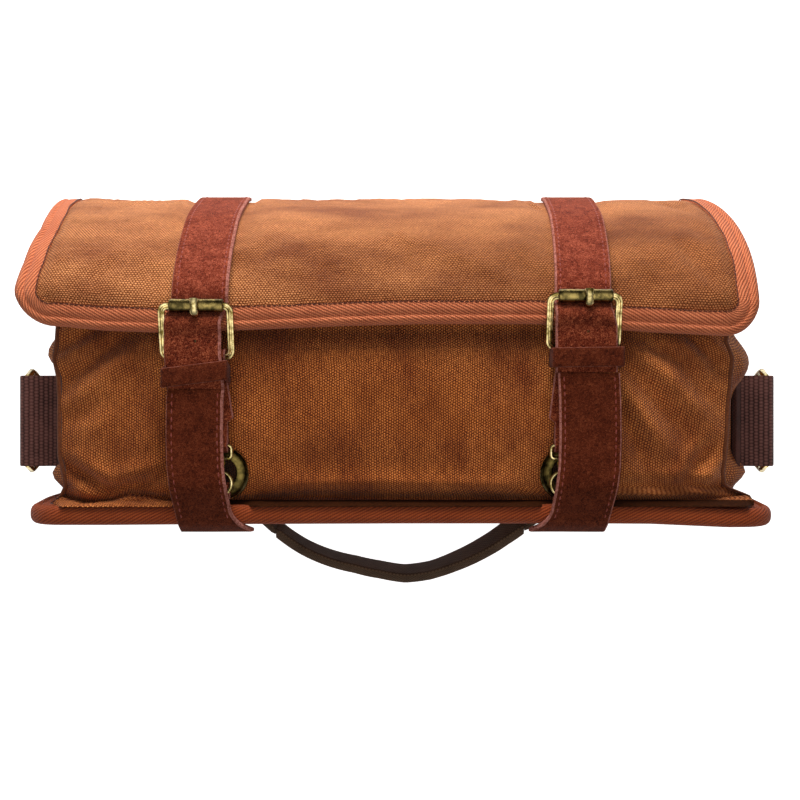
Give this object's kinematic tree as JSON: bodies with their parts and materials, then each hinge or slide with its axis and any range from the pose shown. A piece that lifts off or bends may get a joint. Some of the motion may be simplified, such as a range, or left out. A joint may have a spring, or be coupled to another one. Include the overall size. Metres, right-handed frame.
{
  "type": "bar tool roll",
  "caption": "Padded canvas bar tool roll with a bound flap, buckled suede straps with snap hooks, and a carrying handle.",
  "frame": {"origin": "centre of the flat back, on which the roll lies", "axes": "+X along the roll's length, +Y from the handle side to the hinge side, +Z from the back up to the front"},
  "size_m": [0.4171, 0.223, 0.1435],
  "materials": {
    "tan_canvas": "waxed heavy canvas",
    "brown_canvas": "waxed heavy canvas",
    "rust_twill_tape": "woven twill tape",
    "grey_foam": "soft padding foam",
    "dark_lining": "plain woven lining",
    "red_brown_suede": "suede, undyed cut edges",
    "plum_webbing": "ribbed webbing",
    "black_brown_webbing": "ribbed webbing",
    "black_elastic": "woven elastic",
    "antique_brass": "antiqued, lacquered"
  },
  "bodies": {
    "shell": {"shell_canvas": "brown_canvas", "shell_foam": "grey_foam", "shell_lining": "dark_lining", "shell_tape": "rust_twill_tape", "front_panel": "brown_canvas", "mouth_tape": "rust_twill_tape", "tool_pockets": "dark_lining", "elastic_loops": "black_elastic", "left_gusset": "brown_canvas", "left_seam_tape": "rust_twill_tape", "left_handle_end": "black_brown_webbing", "left_end_tab": "plum_webbing", "right_gusset": "brown_canvas", "right_seam_tape": "rust_twill_tape", "right_handle_end": "black_brown_webbing", "right_end_tab": "plum_webbing"},
    "flap": {"flap_canvas": "tan_canvas", "flap_foam": "grey_foam", "flap_lining": "dark_lining", "flap_tape": "rust_twill_tape", "left_flap_strap": "red_brown_suede", "right_flap_strap": "red_brown_suede"},
    "handle": {"handle_loop": "black_brown_webbing"},
    "left_buckle": {"left_buckle_frame": "antique_brass", "left_buckle_strap": "red_brown_suede", "left_keeper": "red_brown_suede", "left_hanger_strap": "red_brown_suede", "left_hook_eye": "antique_brass"},
    "left_roller": {"left_roller": "antique_brass"},
    "left_prong": {"left_prong": "antique_brass"},
    "left_tail": {"left_tail_strap": "red_brown_suede"},
    "left_hook": {"left_hook_body": "antique_brass"},
    "left_gate": {"left_gate": "antique_brass"},
    "left_ring": {"left_anchor_ring": "antique_brass", "left_ring_tab": "red_brown_suede"},
    "left_d_ring": {"left_d_ring": "antique_brass"},
    "right_buckle": {"right_buckle_frame": "antique_brass", "right_buckle_strap": "red_brown_suede", "right_keeper": "red_brown_suede", "right_hanger_strap": "red_brown_suede", "right_hook_eye": "antique_brass"},
    "right_roller": {"right_roller": "antique_brass"},
    "right_prong": {"right_prong": "antique_brass"},
    "right_tail": {"right_tail_strap": "red_brown_suede"},
    "right_hook": {"right_hook_body": "antique_brass"},
    "right_gate": {"right_gate": "antique_brass"},
    "right_ring": {"right_anchor_ring": "antique_brass", "right_ring_tab": "red_brown_suede"},
    "right_d_ring": {"right_d_ring": "antique_brass"}
  },
  "joints": [
    {"name": "flap_open", "type": "hinge", "parent": "shell", "child": "flap", "pos_m": [0, 0.0935, 0.0185], "axis": [-1, 0, 0], "range_deg": [0, 115]},
    {"name": "handle_swing", "type": "hinge", "parent": "shell", "child": "handle", "pos_m": [0, -0.0985, 0.06], "axis": [1, 0, 0], "range_deg": [-25, 25]},
    {"name": "left_buckle_lift", "type": "hinge", "parent": "flap", "child": "left_buckle", "pos_m": [-0.1025, 0.022, 0.1369], "axis": [-1, 0, 0], "range_deg": [0, 80]},
    {"name": "left_roller_spin", "type": "hinge", "parent": "left_buckle", "child": "left_roller", "pos_m": [-0.1025, 0.022, 0.1369], "axis": [1, 0, 0], "continuous": true},
    {"name": "left_prong_lift", "type": "hinge", "parent": "left_buckle", "child": "left_prong", "pos_m": [-0.1025, -0.00368, 0.12856], "axis": [1, 0, 0], "range_deg": [0, 5]},
    {"name": "left_tail_lift", "type": "hinge", "parent": "left_buckle", "child": "left_tail", "pos_m": [-0.1025, -0.02048, 0.1384], "axis": [-1, 0, 0], "range_deg": [0, 110]},
    {"name": "left_hook_swivel", "type": "hinge", "parent": "left_buckle", "child": "left_hook", "pos_m": [-0.0925, -0.06082, 0.1282], "axis": [0, 1, 0], "continuous": true},
    {"name": "left_gate_open", "type": "hinge", "parent": "left_hook", "child": "left_gate", "pos_m": [-0.09518, -0.06399, 0.1282], "axis": [0, 0, -1], "range_deg": [0, 25], "stiffness_Nm_per_rad": 0.002, "springref_deg": -28.65},
    {"name": "left_ring_lift", "type": "hinge", "parent": "shell", "child": "left_ring", "pos_m": [-0.0934, -0.0784, 0.11852], "axis": [1, 0, 0], "range_deg": [0, 60]},
    {"name": "left_d_ring_swing", "type": "hinge", "parent": "shell", "child": "left_d_ring", "pos_m": [-0.206, -0.0375, 0.075], "axis": [0, 1, 0], "range_deg": [-20, 160]},
    {"name": "right_buckle_lift", "type": "hinge", "parent": "flap", "child": "right_buckle", "pos_m": [0.0935, 0.027, 0.1369], "axis": [-1, 0, 0], "range_deg": [0, 80]},
    {"name": "right_roller_spin", "type": "hinge", "parent": "right_buckle", "child": "right_roller", "pos_m": [0.0935, 0.027, 0.1369], "axis": [1, 0, 0], "continuous": true},
    {"name": "right_prong_lift", "type": "hinge", "parent": "right_buckle", "child": "right_prong", "pos_m": [0.0935, 0.00132, 0.12856], "axis": [1, 0, 0], "range_deg": [0, 5]},
    {"name": "right_tail_lift", "type": "hinge", "parent": "right_buckle", "child": "right_tail", "pos_m": [0.0935, -0.01208, 0.1384], "axis": [-1, 0, 0], "range_deg": [0, 110]},
    {"name": "right_hook_swivel", "type": "hinge", "parent": "right_buckle", "child": "right_hook", "pos_m": [0.0835, -0.06082, 0.1282], "axis": [0, 1, 0], "continuous": true},
    {"name": "right_gate_open", "type": "hinge", "parent": "right_hook", "child": "right_gate", "pos_m": [0.08618, -0.06399, 0.1282], "axis": [0, 0, 1], "range_deg": [0, 25], "stiffness_Nm_per_rad": 0.002, "springref_deg": -28.65},
    {"name": "right_ring_lift", "type": "hinge", "parent": "shell", "child": "right_ring", "pos_m": [0.0875, -0.0784, 0.11852], "axis": [1, 0, 0], "range_deg": [0, 60]},
    {"name": "right_d_ring_swing", "type": "hinge", "parent": "shell", "child": "right_d_ring", "pos_m": [0.2025, -0.0375, 0.075], "axis": [0, -1, 0], "range_deg": [-20, 160]}
  ],
  "couplings": [
    {"joint": "left_ring_lift", "follows": "flap_open", "ratio": 0.5},
    {"joint": "right_ring_lift", "follows": "flap_open", "ratio": 0.5}
  ]
}
